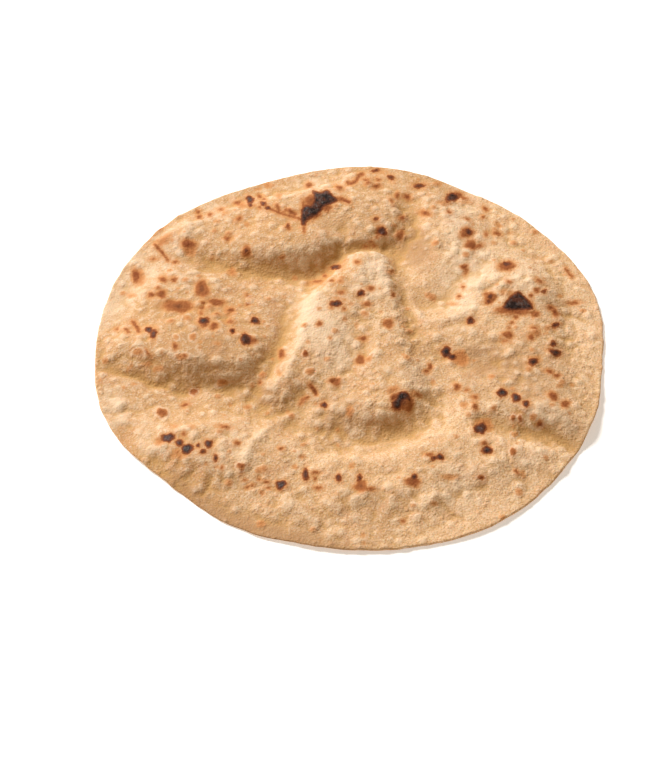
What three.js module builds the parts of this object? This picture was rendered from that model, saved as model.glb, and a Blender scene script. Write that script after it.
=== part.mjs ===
// A chapati: a thin round flatbread of unleavened whole-wheat dough. It was baked on a griddle, puffed over a
// flame, and sank back into soft mounds with valleys between them. The valleys rest on the table.
// It is one solid. Units are millimetres, +Z is up, and the origin is on the table under the bread's middle.
import * as THREE from "three";

// Driving dimensions.
const RADIUS = 110.3;
const THICKNESS = 2.4;
const RIM_THICKNESS = 1.5;
const RIM_TAPER = 12; // how far in from the rim the dough has been rolled thinner
const LIP = 0.75; // how far the lip of the rim reaches past the last flat ring
const RINGS = 34;

// The outline is a circle that bulges or flattens a little: at and wide in degrees, out in millimetres.
const OUTLINE = [
  { at: 18, wide: 14, out: 1.8 },
  { at: 60, wide: 8, out: -1.2 },
  { at: 112, wide: 14, out: -2.2 },
  { at: 158, wide: 14, out: 1.6 },
  { at: 200, wide: 15, out: 2.4 },
  { at: 228, wide: 13, out: -2.4 },
  { at: 258, wide: 10, out: -1 },
  { at: 299, wide: 15, out: 2 },
  { at: 351, wide: 12, out: -2.2 },
];

// The surface is drawn like a map of hills. Each line runs through its points as a smooth curve, and a point
// is x, y and how high the dough's underside would stand over the table there if the bread weighed nothing.
const CREST_LINES = [
  // the broad mound at the back: its steep front brow and its back
  [[-58, 55, 5.1], [-46, 54, 8.1], [-24, 53, 9.8], [-10, 53, 9], [-2, 60, 6.4], [5, 68, 7.6], [15, 72, 7]],
  [[-52, 72, 5.6], [-26, 76, 8.6], [-4, 80, 7.6], [6, 92, 5.6]],
  // the tent in the middle: its left crest down to the tip, its right crest, and the lump in its front
  [[12, 41, 8.1], [-4, 26, 10.1], [-13, 6, 10.1], [-19, -12, 9.4], [-29, -27, 7.4], [-34, -36, 5.1]],
  [[12, 41, 8.1], [15, 25, 8.8], [18, 6, 8.8], [20, -14, 8.4]],
  [[15, -8, 9.1], [19, -24, 9.1], [12, -37, 8.1]],
  // the left lobe, which falls steeply to the crease in front of it
  [[-102, -6, 6.4], [-84, -9, 9.2], [-66, -13, 10.2], [-48, -13, 9.6], [-38, -2, 7]],
  [[-88, 22, 5.6], [-60, 26, 5.6]],
  [[-84, 60, 4.6], [-70, 66, 5.1]],
  // the lobes along the front
  [[-86, -61, 4.2], [-69, -65, 6], [-50, -66, 6.2], [-36, -61, 5.6]],
  [[-20, -84, 3.6], [4, -76, 4.8], [24, -70, 5.4], [46, -62, 5.4], [66, -64, 4.6], [86, -68, 3.4]],
  // the right side
  [[36, 78, 6.6], [43, 60, 7.1], [46, 46, 6.1]],
  [[34, 0, 6.1], [46, 3, 7.1], [54, 13, 7.6], [61, 25, 7.8], [76, 29, 7]],
  [[70, -8, 7], [76, -26, 7]],
  [[54, -38, 6.4], [71, -42, 8], [87, -47, 7.8], [98, -51, 6.2]],
];
const VALLEY_LINES = [
  // round the foot of the back mound
  [
    [-78, 48, 2.5], [-60, 42, 1], [-46, 38, -0.5], [-24, 35, -1.5],
    [-10, 41, -1], [-4, 50, 0], [6, 53, 0.5], [20, 50, 0],
  ],
  [[20, 50, 0], [27, 62, 1.5], [29, 82, 3]],
  // down the left of the tent and round its tip
  [
    [-14, 36, 0.5], [-26, 20, 3], [-29, 2, 3.5], [-34, -14, 3.5],
    [-37, -26, 3], [-41, -38, 0], [-34, -45, 0], [-23, -38, 1],
  ],
  // a shallow trough in the front of the tent, beside the lump
  [[3, -6, 7], [3, -20, 6], [-6, -34, 5.5]],
  // down the right of the tent
  [[21, 50, 0], [22, 34, 2.4], [24, 12, 3.4], [27, -6, 4.4], [31, -24, 5], [37, -42, 2.5]],
  // under the front of the left lobe, and on to the tip of the tent
  [[-110, -19, -0.5], [-94, -24, -0.5], [-72, -32, -1], [-56, -33, -0.5], [-41, -41, 0]],
  // under the front of the tent
  [[-32, -47, 1.5], [-16, -55, 0.5], [4, -59, -0.5], [22, -54, 0.5], [36, -46, 2]],
  // the right side: behind the plateau, in the middle, and the crease in front
  [[30, 18, 3], [42, 20, 3.2], [49, 32, 3.8], [64, 43, 4.5]],
  [[35, -14, 4], [46, -19, 4], [62, -21, 4.8]],
  [[54, -50, 3], [68, -54, 0], [90, -61, -1.5], [100, -65, -1.5]],
];
const SETTLE = 1.2; // the bread's own weight lowers it this much, and flattens what would sink into the table
const BEND = 1; // the dough curves onto the table over this much height, without a sharp line
const LINE_STEPS = 160;
const CREST_ROUNDING = 6; // crests are broad and round, like a pillow
const VALLEY_ROUNDING = 3.4; // valleys are narrow
const RIM_ROUNDING = 8;
const PULL = 3.2; // how strongly the nearest line sets the height: higher makes flanks steeper

// The rim rests on the table, and lifts off it in places: at and wide in degrees, raise in millimetres.
const RIM_REST = -0.5;
const RIM_LIFTS = [
  { at: 80, wide: 22, raise: 3.5 },
  { at: 140, wide: 14, raise: 3 },
  { at: 177, wide: 10, raise: 3 },
  { at: 222, wide: 14, raise: 1.4 },
  { at: 262, wide: 20, raise: 2.6 },
  { at: 300, wide: 16, raise: 2 },
  { at: 338, wide: 14, raise: 3 },
];

const bell = (distance) => Math.exp(-distance * distance);

// The shorter way round between two directions, in degrees.
function angleBetween(a, b) {
  const turn = Math.abs(a - b) % 360;
  return Math.min(turn, 360 - turn);
}

// The sum of all waves of a list at a direction, each with its own size under the name key.
function waves(list, key, degrees) {
  return list.reduce((sum, wave) => sum + wave[key] * bell(angleBetween(degrees, wave.at) / wave.wide), 0);
}

const outlineRadius = (degrees) => RADIUS + waves(OUTLINE, "out", degrees);

function smoothLine(points, rounding) {
  const curve = new THREE.CatmullRomCurve3(points.map((p) => new THREE.Vector3(...p)));
  return { steps: curve.getPoints(LINE_STEPS), rounding };
}
const lines = [
  ...CREST_LINES.map((points) => smoothLine(points, CREST_ROUNDING)),
  ...VALLEY_LINES.map((points) => smoothLine(points, VALLEY_ROUNDING)),
];

// How far the dough's underside is off the table at a point: a mean of the heights of all the lines and the
// rim, in which near lines count most.
function lift(px, py) {
  const degrees = THREE.MathUtils.radToDeg(Math.atan2(py, px));
  const inward = outlineRadius(degrees) - Math.hypot(px, py);
  const away = (step) => Math.hypot(step.x - px, step.y - py);
  const marks = lines.map(({ steps, rounding }) => {
    const nearest = steps.reduce((a, b) => (away(a) < away(b) ? a : b));
    return { height: nearest.z, distance: away(nearest), rounding };
  });
  const rimHeight = RIM_REST + waves(RIM_LIFTS, "raise", degrees);
  marks.push({ height: rimHeight, distance: inward, rounding: RIM_ROUNDING });
  let total = 0;
  let weights = 0;
  for (const mark of marks) {
    const weight = (1 + (mark.distance / mark.rounding) ** 2) ** (-PULL / 2);
    total += mark.height * weight;
    weights += weight;
  }
  const height = total / weights - SETTLE;
  return height > BEND ? height : Math.max(0, height + BEND) ** 2 / (4 * BEND);
}

// A disc with a top and an underside is an octahedron pressed flat: four corners go to the rim and two to the
// middle. Every point is on a ring, and its share of a side of that ring gives its direction.
function discPlace(x, y, z) {
  const ring = Math.round((1 - Math.abs(z) / (Math.abs(x) + Math.abs(y) + Math.abs(z))) * RINGS);
  const turn = ring === 0 ? 0 : (90 * Math.abs(y)) / (Math.abs(x) + Math.abs(y));
  const half = x < 0 ? 180 - turn : turn;
  return {
    radius: ring === RINGS ? RADIUS : ((RADIUS - LIP) * ring) / (RINGS - 1),
    degrees: y < 0 ? 360 - half : half,
    share: ring === RINGS ? 0.5 : Math.max(0, Math.sign(z)),
  };
}

function chapatiGeometry() {
  const geometry = new THREE.OctahedronGeometry(1, RINGS - 1);
  const position = geometry.attributes.position;
  for (let i = 0; i < position.count; i += 1) {
    const { radius, degrees, share } = discPlace(position.getX(i), position.getY(i), position.getZ(i));
    const angle = THREE.MathUtils.degToRad(degrees);
    const reach = (radius * outlineRadius(degrees)) / RADIUS;
    const px = reach * Math.cos(angle);
    const py = reach * Math.sin(angle);
    const thickness = THICKNESS - (THICKNESS - RIM_THICKNESS) * bell((RADIUS - radius) / RIM_TAPER);
    position.setXYZ(i, px, py, lift(px, py) + share * thickness);
  }
  geometry.computeVertexNormals();
  geometry.computeBoundingBox();
  const middle = geometry.boundingBox.getCenter(new THREE.Vector3());
  return geometry.translate(-middle.x, -middle.y, 0);
}

const chapati = new THREE.Mesh(
  chapatiGeometry(),
  new THREE.MeshStandardMaterial({ color: 0xd9ad78, roughness: 0.85, metalness: 0 }),
);
chapati.name = "chapati";

const group = new THREE.Group();
group.add(chapati);

export default group;
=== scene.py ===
# %% [markdown]
# # A chapati, from a CAD solid to a baked bread
#
# A chapati is a thin round of whole-wheat dough, baked dry on a hot griddle. Steam puffs it up, it sinks
# back into soft mounds and creases, and it leaves the griddle with black, brown and tan spots. The CAD
# model already has the outline and the large mounds. This lesson adds what a CAD solid leaves out: the
# small folds and blisters of the surface, and the colours of the baking.

# %% Load the frame
import math
import random

import bpy
import numpy as np
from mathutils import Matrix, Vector, noise
from mathutils.kdtree import KDTree


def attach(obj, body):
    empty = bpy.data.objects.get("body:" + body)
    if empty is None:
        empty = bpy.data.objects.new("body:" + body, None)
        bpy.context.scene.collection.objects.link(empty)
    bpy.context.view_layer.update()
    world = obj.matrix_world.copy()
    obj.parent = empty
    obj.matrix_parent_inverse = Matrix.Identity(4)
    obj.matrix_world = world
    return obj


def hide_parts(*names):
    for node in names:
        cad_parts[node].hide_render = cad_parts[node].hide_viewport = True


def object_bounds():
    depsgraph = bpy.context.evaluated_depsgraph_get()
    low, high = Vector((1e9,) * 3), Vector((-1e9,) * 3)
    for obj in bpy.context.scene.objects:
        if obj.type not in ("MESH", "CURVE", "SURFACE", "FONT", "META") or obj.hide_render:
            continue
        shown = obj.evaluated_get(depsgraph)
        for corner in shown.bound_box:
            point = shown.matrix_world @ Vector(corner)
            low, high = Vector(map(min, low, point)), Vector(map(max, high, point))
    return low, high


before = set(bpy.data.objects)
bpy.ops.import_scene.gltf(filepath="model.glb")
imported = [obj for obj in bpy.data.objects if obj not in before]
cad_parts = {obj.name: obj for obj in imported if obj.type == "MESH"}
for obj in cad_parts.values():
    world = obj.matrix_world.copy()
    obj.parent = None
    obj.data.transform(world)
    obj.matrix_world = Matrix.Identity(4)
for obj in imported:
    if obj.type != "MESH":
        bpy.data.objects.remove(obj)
cad_low, cad_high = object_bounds()
MM = 0.001
print("CAD box in mm:", [round((b - a) / MM, 2) for a, b in zip(cad_low, cad_high)])

# %% [markdown]
# ## The camera
#
# The camera looks down at the bread from the front, 50 degrees above the table, through a long lens that
# hardly distorts. It comes first because the spots are placed later by where this camera sees them: a spot
# on a lumpy bread is easier to place in a picture than by measuring over the mounds.

# %% Camera
FRAME_WIDE = 645  # points across the frame
FRAME_HIGH = 774  # points down the frame
LENS = 70.0  # mm
SENSOR = 36.0  # mm, along the taller side of the frame
LOOK_DOWN = math.radians(50)
CAMERA_PLACE = (-0.0125, -0.4370, 0.4895)

bpy.ops.object.select_all(action="DESELECT")
bpy.ops.object.camera_add(location=CAMERA_PLACE, rotation=(math.radians(90) - LOOK_DOWN, 0, 0))
camera = bpy.context.object
camera.data.lens = LENS
camera.data.sensor_width = SENSOR
bpy.context.scene.camera = camera


def seen(places):
    """Where the camera's frame shows each place: points across from the left, and down from the top."""
    from_camera = places - np.array(CAMERA_PLACE)
    depth = from_camera @ np.array([0, math.cos(LOOK_DOWN), -math.sin(LOOK_DOWN)])
    rise = from_camera @ np.array([0, math.sin(LOOK_DOWN), math.cos(LOOK_DOWN)])
    focal = LENS / SENSOR * FRAME_HIGH
    return FRAME_WIDE / 2 + focal * from_camera[:, 0] / depth, FRAME_HIGH / 2 - focal * rise / depth


middle = seen(np.zeros((1, 3)))
print("the middle of the bread is seen at", round(float(middle[0][0])), round(float(middle[1][0])))

# %% [markdown]
# ## Light and table
#
# One soft lamp stands behind and to the left, at half height, so that each mound has a bright side and a
# soft dark side. A bright even sky fills the shadows. The table is nearly white and glows a little, which
# keeps it white far from the lamp. The Standard view transform shows colours as they are mixed.

# %% Lamp, sky and table
LAMP_TURN = math.radians(135)
LAMP_RISE = math.radians(38)
LAMP_AWAY = 6.0
LAMP_SIDE = 1.75
LAMP_WATTS = 480
SKY = 0.34
SKY_COLOUR = (1.0, 0.76, 0.50, 1)
TABLE_SIDE = 20.0
TABLE_GLOW = 0.35

bpy.context.scene.view_settings.view_transform = "Standard"
toward_lamp = Vector((math.cos(LAMP_TURN), math.sin(LAMP_TURN), 0)) * math.cos(LAMP_RISE)
toward_lamp.z = math.sin(LAMP_RISE)
bpy.ops.object.light_add(type="AREA", location=toward_lamp * LAMP_AWAY)
lamp = bpy.context.object
lamp.rotation_euler = toward_lamp.to_track_quat("Z", "Y").to_euler()
lamp.data.size = LAMP_SIDE
lamp.data.energy = LAMP_WATTS

sky = bpy.data.worlds.new("even sky")
sky.use_nodes = True
sky.node_tree.nodes["Background"].inputs["Color"].default_value = SKY_COLOUR
sky.node_tree.nodes["Background"].inputs["Strength"].default_value = SKY
bpy.context.scene.world = sky

bpy.ops.mesh.primitive_plane_add(size=TABLE_SIDE)
table = bpy.context.object
table.name = "table"
table_paint = bpy.data.materials.new("pale table")
table_paint.use_nodes = True
table_shader = table_paint.node_tree.nodes["Principled BSDF"]
table_shader.inputs["Base Color"].default_value = (0.9, 0.9, 0.9, 1)
table_shader.inputs["Roughness"].default_value = 0.9
table_shader.inputs["Emission Color"].default_value = (1, 1, 1, 1)
table_shader.inputs["Emission Strength"].default_value = TABLE_GLOW
table.data.materials.append(table_paint)
print("lamp at", [round(v, 2) for v in lamp.location])

# %% [markdown]
# ## Two round sheets
#
# The bread's fine shape needs many small, even triangles. A hexagon cut into equal triangles gives rings
# that each hold six more points than the ring inside, so the triangles stay the same size from the middle
# to the rim. Each hexagon ring is then drawn out to the bread's own outline. The top gets more rings than
# the underside, because that is where the detail is.

# %% Hexagons cut into rings
TOP_CUTS = (9, 14)  # every edge is cut in 9 places, then every piece in 14: 10 x 15 = 150 rings
UNDER_CUTS = (9, 9)  # 10 x 10 = 100 rings


def hexagon_sheet(name, cuts):
    """A flat hexagon, cut into small equal triangles."""
    bpy.ops.object.select_all(action="DESELECT")
    bpy.ops.mesh.primitive_circle_add(vertices=6, radius=1, fill_type="TRIFAN")
    sheet = bpy.context.object
    sheet.name = name
    bpy.ops.object.mode_set(mode="EDIT")
    bpy.ops.mesh.select_all(action="SELECT")
    for count in cuts:
        bpy.ops.mesh.subdivide(number_cuts=count)
    bpy.ops.object.mode_set(mode="OBJECT")
    return sheet


def get_places(piece):
    """All points of a piece as rows of x, y and z."""
    flat = np.empty(len(piece.data.vertices) * 3, dtype=np.float32)
    piece.data.vertices.foreach_get("co", flat)
    return flat.reshape(-1, 3).astype(float)


def set_places(piece, places):
    """Moves all points of a piece."""
    piece.data.vertices.foreach_set("co", places.astype(np.float32).ravel())
    piece.data.update()


top = hexagon_sheet("bread", TOP_CUTS)
under = hexagon_sheet("underside", UNDER_CUTS)
print("top", len(top.data.polygons), "triangles, underside", len(under.data.polygons))

# %% [markdown]
# ## From hexagon to outline
#
# The CAD solid's rim gives the outline: in each direction, its farthest point. The rim of a rolled round is
# never clean, so a little noise makes it wander by a fraction of a millimetre. The last few rings lie close
# together and curve over, for the rounded lip.

# %% Outline
LIP = 0.75 * MM
LIP_RINGS = 4
RIM_WANDER = 0.35 * MM
RIM_WAVES = 16  # size of the noise pattern that the rim crosses: higher gives shorter waves
RIM_NOISE = (1.0, 2.0, 3)  # how fast finer waves weaken, how much finer each layer is, how many layers
SECTORS = 120

cad = bpy.data.objects["chapati"]
cad_places = get_places(cad)
cad_turn = np.degrees(np.arctan2(cad_places[:, 1], cad_places[:, 0])) % 360
cad_reach = np.hypot(cad_places[:, 0], cad_places[:, 1])
cad_sector = (cad_turn * SECTORS / 360).astype(int)
farthest = []
for sector in range(SECTORS):
    members = np.flatnonzero(cad_sector == sector)
    farthest.append(members[np.argmax(cad_reach[members])])


def outline(turns):
    """How far the rim is from the middle, in each direction in degrees."""
    reach = np.interp(turns, cad_turn[farthest], cad_reach[farthest], period=360)
    wander = []
    for turn in np.radians(turns):
        spot = Vector((math.cos(turn), math.sin(turn), 0)) * RIM_WAVES
        wander.append(noise.fractal(spot, *RIM_NOISE))
    return reach + RIM_WANDER * np.array(wander)


def rings_and_turns(places):
    """Each point's ring, as a share of the way out, and its direction in degrees when rings become round."""
    turn = np.degrees(np.arctan2(places[:, 1], places[:, 0])) - 90
    corner = np.floor(turn / 60)
    slope = np.tan(np.radians(turn - 60 * corner))
    side_share = slope / (math.sin(math.radians(60)) + 0.5 * slope)
    flat_out = np.cos(np.radians(turn - 60 * corner - 30)) / math.cos(math.radians(30))
    ring = np.hypot(places[:, 0], places[:, 1]) * flat_out
    return ring, (90 + 60 * (corner + side_share)) % 360


def draw_out(sheet, cuts):
    """Spreads a hexagon sheet to the outline.

    Gives each point's place, the nearest place inside the lip, and how far round the lip it is.
    """
    rings = math.prod(count + 1 for count in cuts)
    places = get_places(sheet)
    share, turns = rings_and_turns(places)
    ring = share * rings
    round_lip = np.clip((ring - (rings - LIP_RINGS)) / LIP_RINGS, 0, 1)
    flat_share = np.clip(ring / (rings - LIP_RINGS), 0, 1)
    reach = outline(turns)
    radius = flat_share * (reach - LIP) + LIP * np.sin(round_lip * math.pi / 2)
    across = np.column_stack([np.cos(np.radians(turns)), np.sin(np.radians(turns))])
    return across * radius[:, None], across * np.minimum(radius, reach - LIP)[:, None], round_lip


top_flat, top_inner, top_lip = draw_out(top, TOP_CUTS)
under_flat, under_inner, under_lip = draw_out(under, UNDER_CUTS)
print("rim runs from", round(np.hypot(*top_flat[top_lip == 1].T).min() / MM, 1), "to",
      round(np.hypot(*top_flat[top_lip == 1].T).max() / MM, 1), "mm from the middle")

# %% [markdown]
# ## Laying the sheets on the solid
#
# A Shrinkwrap modifier can drop every point straight down until it meets another object. The top sheet
# starts above the CAD solid and falls onto its mounds, and the underside rises to it from below. The solid
# is faceted, so a Smooth modifier that may only move points up and down rounds the facets off.

# %% Shrinkwrap and smooth
HIGH_ABOVE = 30 * MM
FACET_SMOOTHING = 22  # repeats of the Smooth modifier


def apply_modifier(piece, kind, **settings):
    """Adds one modifier with its settings, and applies it."""
    bpy.ops.object.select_all(action="DESELECT")
    piece.select_set(True)
    bpy.context.view_layer.objects.active = piece
    modifier = piece.modifiers.new(kind.title(), kind)
    for setting, value in settings.items():
        setattr(modifier, setting, value)
    bpy.ops.object.modifier_apply(modifier=modifier.name)


def lay_on_solid(sheet, inner, side):
    """Gives a flat sheet the solid's height, on its top (side 1) or its underside (side -1)."""
    heights = np.full((len(inner), 1), side * HIGH_ABOVE)
    set_places(sheet, np.hstack([inner, heights]))
    apply_modifier(sheet, "SHRINKWRAP", target=cad, wrap_method="PROJECT", use_project_z=True,
                   use_positive_direction=side < 0, use_negative_direction=side > 0)
    apply_modifier(sheet, "SMOOTH", factor=0.5, iterations=FACET_SMOOTHING, use_x=False, use_y=False)
    return get_places(sheet)[:, 2]


top_height = lay_on_solid(top, top_inner, 1)
under_height = lay_on_solid(under, under_inner, -1)
print("top from", round(top_height.min() / MM, 2), "to", round(top_height.max() / MM, 2), "mm;",
      "underside from", round(under_height.min() / MM, 2), "to", round(under_height.max() / MM, 2))

# %% [markdown]
# ## Lumps
#
# The skin of the bread is never even. Three Displace modifiers raise and lower the top: broad lumps where
# steam stood under the dough, smaller ones, and a fine unevenness. Each uses a procedural texture on the
# bread's own coordinates. A vertex group tells a modifier how strongly it may act at each point. Here it
# holds the lumps back in smoother patches, and at the thin rim.

# %% Displace layers
TOP_LUMPS = (("CLOUDS", 16 * MM, 1.8 * MM), ("CLOUDS", 7 * MM, 1.2 * MM), ("CLOUDS", 3.2 * MM, 0.45 * MM))
RIM_FADE = 8 * MM  # lumps and folds weaken over this distance to the rim
LUMPS_AT_RIM = 0.4  # share of the lumps that is left at the rim
PEBBLY = 0.85  # how strongly the lumps act, on average
PEBBLY_CHANGE = 0.5
PEBBLY_LEAST = 0.4
PEBBLY_PATCH = 28 * MM  # size of the smoother and the rougher patches
SMOOTH_PLACES = (  # where the skin is smoothest: across and down in the frame, and how far it reaches
    (320, 235, 22), (425, 274, 26), (382, 350, 22), (385, 450, 26), (485, 508, 34), (262, 300, 26),
    (205, 482, 18), (150, 272, 20), (548, 385, 22),
)
SMOOTHER = 0.6  # how much the lumps are held back in the middle of such a place


def lumpy(piece, group, layers, mid_level=0.5):
    """Raises and lowers a piece by layers of procedural texture, each with a kind, a size and an amount."""
    for kind, size, amount in layers:
        texture = bpy.data.textures.new(f"{kind} {size / MM:.1f} mm", kind)
        texture.noise_scale = size
        if kind == "CLOUDS":
            texture.noise_depth = 2
        apply_modifier(piece, "DISPLACE", texture=texture, texture_coords="LOCAL", direction="Z",
                       strength=amount, mid_level=mid_level, vertex_group=group)


def weigh(piece, group, weights):
    """Gives every point of a piece its own weight in a new vertex group."""
    made = piece.vertex_groups.new(name=group)
    for index, weight in enumerate(weights):
        made.add([index], float(weight), "REPLACE")


def weaker_at_rim(flat, left):
    """1 inside, going down towards the rim to the share that is left there."""
    reach = outline(np.degrees(np.arctan2(flat[:, 1], flat[:, 0])))
    inward = np.clip((reach - np.hypot(flat[:, 0], flat[:, 1])) / RIM_FADE, 0, 1)
    return left + (1 - left) * inward


set_places(top, np.column_stack([top_flat, top_height]))
across, down = seen(get_places(top))
change = np.array([noise.noise(Vector((x, y, 0)) / PEBBLY_PATCH) for x, y in top_flat])
pebbly = np.clip(PEBBLY + PEBBLY_CHANGE * change, PEBBLY_LEAST, 1)
for x, y, reach in SMOOTH_PLACES:
    pebbly *= 1 - SMOOTHER * np.exp(-(((across - x) / reach) ** 2) - ((down - y) / reach) ** 2)
weigh(top, "lumpy", pebbly * weaker_at_rim(top_flat, LUMPS_AT_RIM))
lumpy(top, "lumpy", TOP_LUMPS)
relief = get_places(top)[:, 2] - top_height
print("lumps from", round(relief.min() / MM, 2), "to", round(relief.max() / MM, 2), "mm")

# %% [markdown]
# ## Folds
#
# Where the bread sank back, its skin folded. These folds aren't random, so they are drawn one by one: each
# is a line in the camera's frame, with its height or depth in millimetres and its reach to either side in
# frame points. A crease is sharp, like a V, and a ridge is round. Noise shifts the lines a little, because
# no fold runs straight. The rim at the front also droops a little.

# %% Creases
CREASES = (
    # under the front of the left lobe, and the wrinkles at the left rim
    (1.6, 5, ((94, 367), (112, 371), (128, 374), (147, 382), (168, 390), (187, 392), (203, 386))),
    (1.0, 5, ((203, 388), (216, 380), (232, 384), (250, 390), (262, 398))),
    (0.5, 3, ((100, 395), (116, 398), (134, 396))),
    (0.6, 3, ((103, 411), (120, 414), (142, 410), (156, 402))),
    (0.5, 3, ((112, 425), (128, 428), (142, 424))),
    (0.6, 4, ((118, 352), (136, 360), (150, 360), (164, 364))),
    (0.5, 4, ((160, 368), (180, 374), (206, 372), (222, 366))),
    # under the brow of the back mound, up to its hook, and the dark side of its right end
    (0.9, 6, ((200, 258), (228, 268), (250, 272), (276, 277), (305, 278), (318, 276))),
    (0.8, 7, ((382, 248), (394, 253), (406, 258))),
    (0.7, 4, ((392, 205), (388, 216), (394, 228), (390, 240))),
    (0.6, 4, ((338, 226), (346, 238), (343, 250))),
    # the right edge of the tent, and the fold beside it
    (0.5, 6, ((384, 264), (392, 278), (401, 297), (406, 318), (411, 338), (413, 356))),
    (0.4, 5, ((413, 329), (428, 331), (446, 329), (466, 323), (486, 318))),
    # the tip of the tent, and under its front
    (1.0, 6, ((246, 400), (260, 406), (276, 408), (292, 402), (306, 394))),
    (0.7, 5, ((318, 412), (338, 430), (356, 441), (378, 445), (400, 438), (420, 428))),
    # the right side
    (0.7, 4, ((546, 304), (566, 314), (586, 322), (603, 328))),
    (1.3, 5, ((500, 400), (516, 407), (532, 421), (547, 434), (566, 445), (588, 455))),
    (0.6, 4, ((480, 290), (497, 282), (512, 270))),
    (0.5, 4, ((560, 252), (572, 262), (582, 276))),
    # pleats along the front rim
    (0.5, 3, ((196, 466), (186, 476), (178, 489))),
    (0.5, 3, ((214, 478), (206, 490), (200, 503))),
    (0.5, 3, ((160, 455), (152, 463), (146, 470))),
    (1.1, 9, ((206, 502), (230, 513), (258, 520), (290, 526))),
    (0.7, 9, ((418, 534), (440, 526), (458, 512))),
    (0.6, 7, ((452, 498), (470, 489), (488, 485))),
    (0.6, 6, ((356, 470), (380, 476), (404, 470))),
    (0.4, 3, ((322, 520), (330, 532), (344, 541))),
    (0.4, 3, ((368, 512), (374, 526), (370, 541))),
    (0.5, 4, ((440, 500), (452, 514), (470, 522))),
)
print(len(CREASES), "creases")

# %% Ridges
RIDGES = (
    # the left lobe
    (0.5, 5, ((146, 316), (160, 324), (178, 322), (192, 314))),
    (0.4, 4, ((136, 338), (154, 334), (170, 341), (186, 340))),
    (0.4, 4, ((150, 301), (166, 306), (186, 315))),
    (0.4, 4, ((112, 344), (130, 340), (146, 346))),
    (0.5, 5, ((158, 352), (184, 350), (206, 356))),
    (0.5, 5, ((176, 380), (196, 378), (214, 373), (240, 377))),
    # along the front left, with its diagonal streak
    (1.0, 7, ((100, 424), (124, 425), (150, 428), (180, 431), (214, 428), (250, 420))),
    (0.8, 5, ((243, 466), (250, 448), (259, 434), (276, 422), (298, 414))),
    (0.5, 5, ((136, 446), (156, 450), (168, 460))),
    (0.5, 5, ((168, 462), (176, 474), (170, 484))),
    (0.5, 5, ((204, 476), (196, 488), (190, 497))),
    # the back
    (0.8, 9, ((288, 268), (310, 268), (328, 260), (338, 248))),
    (0.6, 5, ((185, 214), (184, 228), (188, 240))),
    (0.5, 5, ((300, 232), (322, 236), (334, 246))),
    (0.5, 5, ((402, 214), (410, 226), (406, 240))),
    (0.8, 7, ((380, 234), (393, 239), (406, 240))),
    (1.3, 7, ((342, 246), (354, 242), (368, 241), (384, 244))),
    (0.5, 6, ((350, 264), (366, 266), (382, 270))),
    (0.4, 5, ((424, 222), (436, 234), (438, 250))),
    # the tent: the streak down its left side, the lump in its front, and the fold beside it
    (0.6, 7, ((305, 330), (300, 346), (290, 364), (278, 382), (270, 392))),
    (1.2, 8, ((280, 400), (294, 402), (306, 399), (316, 394))),
    (0.6, 6, ((258, 374), (266, 380), (268, 392))),
    (0.5, 5, ((284, 346), (295, 356), (289, 369))),
    (0.8, 7, ((380, 348), (370, 362), (364, 378))),
    (0.6, 5, ((407, 284), (413, 302), (420, 320), (440, 323), (462, 316), (482, 304), (502, 286))),
    (0.6, 5, ((344, 458), (364, 450), (386, 443), (408, 438))),
    # the right side
    (0.6, 6, ((528, 440), (548, 450), (566, 460))),
    (0.5, 5, ((470, 262), (486, 270), (500, 264))),
    (0.6, 7, ((430, 418), (450, 416), (472, 411), (494, 411))),
    (0.7, 8, ((551, 284), (556, 305), (556, 330), (553, 356))),
    # the front
    (0.9, 8, ((282, 498), (300, 511), (320, 528))),
    (0.6, 6, ((326, 506), (336, 498), (342, 488))),
    (0.6, 6, ((352, 508), (362, 498), (372, 484))),
    (0.6, 6, ((376, 516), (388, 508), (398, 496))),
    (0.6, 7, ((412, 508), (428, 502), (442, 492))),
    (0.5, 6, ((470, 470), (490, 466), (508, 458))),
)
print(len(RIDGES), "ridges")

# %% Raising and lowering the skin
FOLDS_AT_RIM = 0.4
DROOP = 0.6 * MM  # the rim at the front bends down by this much, over this reach
DROOP_REACH = 5 * MM
FRONT_TURN = 245  # degrees, the direction of the rim that droops most
FRONT_WIDE = 30  # degrees to either side
CORNER_CUTS = 2
WOBBLE_SIZE = 9 * MM
WOBBLE_POINTS = 3.0  # how far the noise moves a line, in frame points
WOBBLE_SEED = 7  # without a seed, noise_vector starts from the clock, and every run gives other folds


def rounded(line):
    """A line with its corners cut off over and over, so that it runs as a curve."""
    line = np.array(line, dtype=float)
    for _ in range(CORNER_CUTS):
        cut = np.stack([0.75 * line[:-1] + 0.25 * line[1:], 0.25 * line[:-1] + 0.75 * line[1:]], axis=1)
        line = np.vstack([line[:1], cut.reshape(-1, 2), line[-1:]])
    return line


def line_distance(line, across, down):
    """Distance in frame points to a line, and how far along the line the nearest place is, from 0 to 1."""
    nearest = np.full(len(across), np.inf)
    along = np.zeros(len(across))
    line = rounded(line)
    steps = len(line) - 1
    for step in range(steps):
        start, run = line[step], line[step + 1] - line[step]
        t = np.clip(((across - start[0]) * run[0] + (down - start[1]) * run[1]) / (run @ run), 0, 1)
        distance = np.hypot(across - start[0] - t * run[0], down - start[1] - t * run[1])
        along = np.where(distance < nearest, (step + t) / steps, along)
        nearest = np.minimum(distance, nearest)
    return nearest, along


def front_rim(flat, width):
    """1 at the front of the rim, fading inwards over a width and to both sides along the rim."""
    turn = np.degrees(np.arctan2(flat[:, 1], flat[:, 0]))
    inward = outline(turn) - np.hypot(flat[:, 0], flat[:, 1])
    aside = (turn - FRONT_TURN + 180) % 360 - 180
    return np.exp(-((inward / width) ** 2) - (aside / FRONT_WIDE) ** 2)


def fade_ends(along):
    """Full in the middle of a line, and nothing at its ends."""
    return np.sqrt(np.clip(4 * along * (1 - along), 0, 1))


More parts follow.
